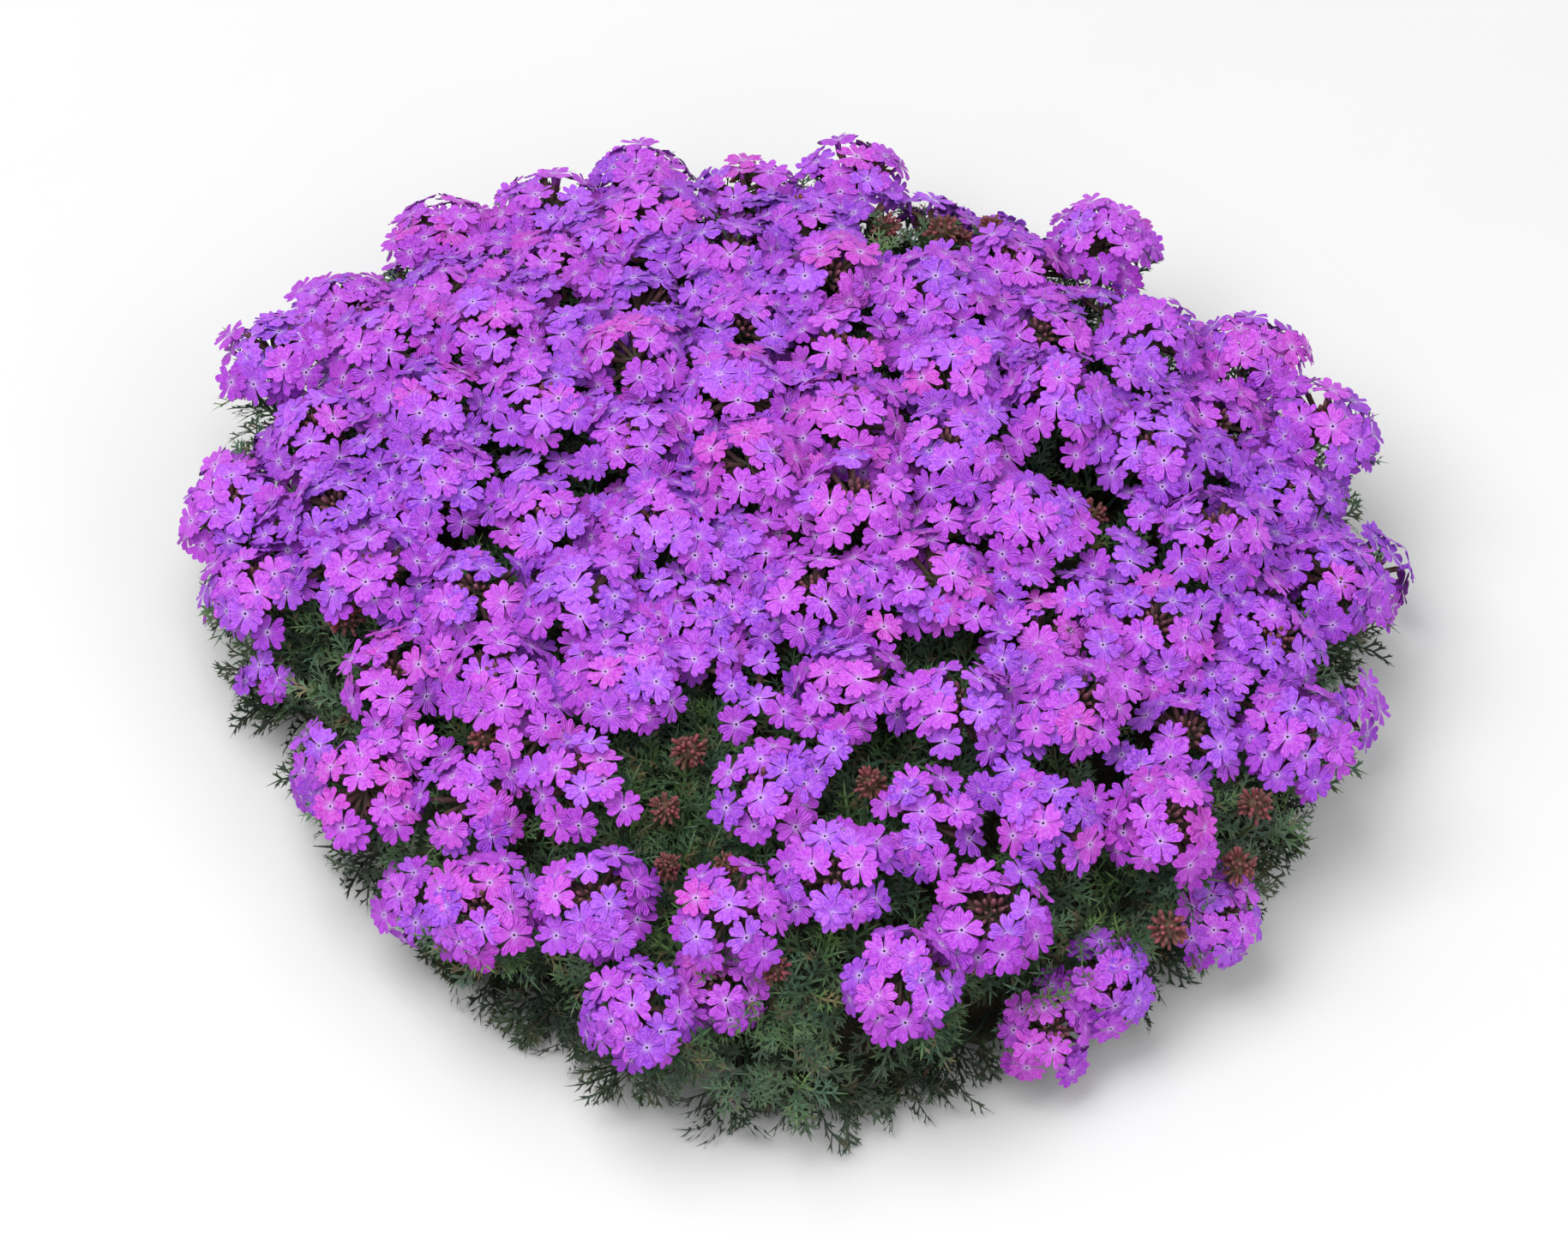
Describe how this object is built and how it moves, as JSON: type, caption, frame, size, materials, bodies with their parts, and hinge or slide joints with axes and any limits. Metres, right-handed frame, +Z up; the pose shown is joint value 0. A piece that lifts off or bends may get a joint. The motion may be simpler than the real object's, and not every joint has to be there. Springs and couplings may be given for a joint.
{
  "type": "verbena plant",
  "caption": "Low mat-forming verbena with finely cut leaves on trailing stems and rounded heads of small purple flowers on thin stalks.",
  "frame": {"origin": "centre of the flat cut face under the root crown", "axes": "+Z up, and +Y towards the back of the plant"},
  "size_m": [0.4166, 0.4119, 0.1179],
  "materials": {
    "bark": "rough woody stub",
    "foliage": "matt dark green leaves and stalks, finely haired",
    "petals": "soft satin violet petals with a pale eye",
    "buds": "matt dusty red calyces"
  },
  "bodies": {
    "root": {"bud_head_01": "buds", "bud_head_02": "buds", "bud_head_03": "buds", "bud_head_04": "buds", "bud_head_05": "buds", "bud_head_06": "buds", "bud_head_07": "buds", "bud_head_08": "buds", "flower_heads_01": "petals", "flower_heads_02": "petals", "flower_heads_03": "petals", "flower_heads_04": "petals", "flower_heads_05": "petals", "flower_heads_06": "petals", "flower_heads_07": "petals", "flower_heads_08": "petals", "flower_heads_09": "petals", "flower_heads_10": "petals", "flower_heads_11": "petals", "flower_heads_12": "petals", "flower_heads_13": "petals", "flower_heads_14": "petals", "flower_heads_15": "petals", "flower_heads_16": "petals", "flower_heads_17": "petals", "flower_heads_18": "petals", "flower_heads_19": "petals", "flower_heads_20": "petals", "flower_heads_21": "petals", "flower_heads_22": "petals", "flower_heads_23": "petals", "flower_heads_24": "petals", "flower_heads_25": "petals", "flower_heads_26": "petals", "flower_heads_27": "petals", "flower_heads_28": "petals", "flower_heads_29": "petals", "flower_heads_30": "petals", "flower_heads_31": "petals", "flower_heads_32": "petals", "flower_heads_33": "petals", "flower_heads_34": "petals", "flower_heads_35": "petals", "flower_heads_36": "petals", "flower_heads_37": "petals", "flower_heads_38": "petals", "flower_heads_39": "petals", "flower_heads_40": "petals", "flower_heads_41": "petals", "flower_heads_42": "petals", "leafy_stem_01": "foliage", "leafy_stem_02": "foliage", "leafy_stem_03": "foliage", "leafy_stem_04": "foliage", "leafy_stem_05": "foliage", "leafy_stem_06": "foliage", "leafy_stem_07": "foliage", "leafy_stem_08": "foliage", "root_crown": "bark"}
  },
  "joints": []
}
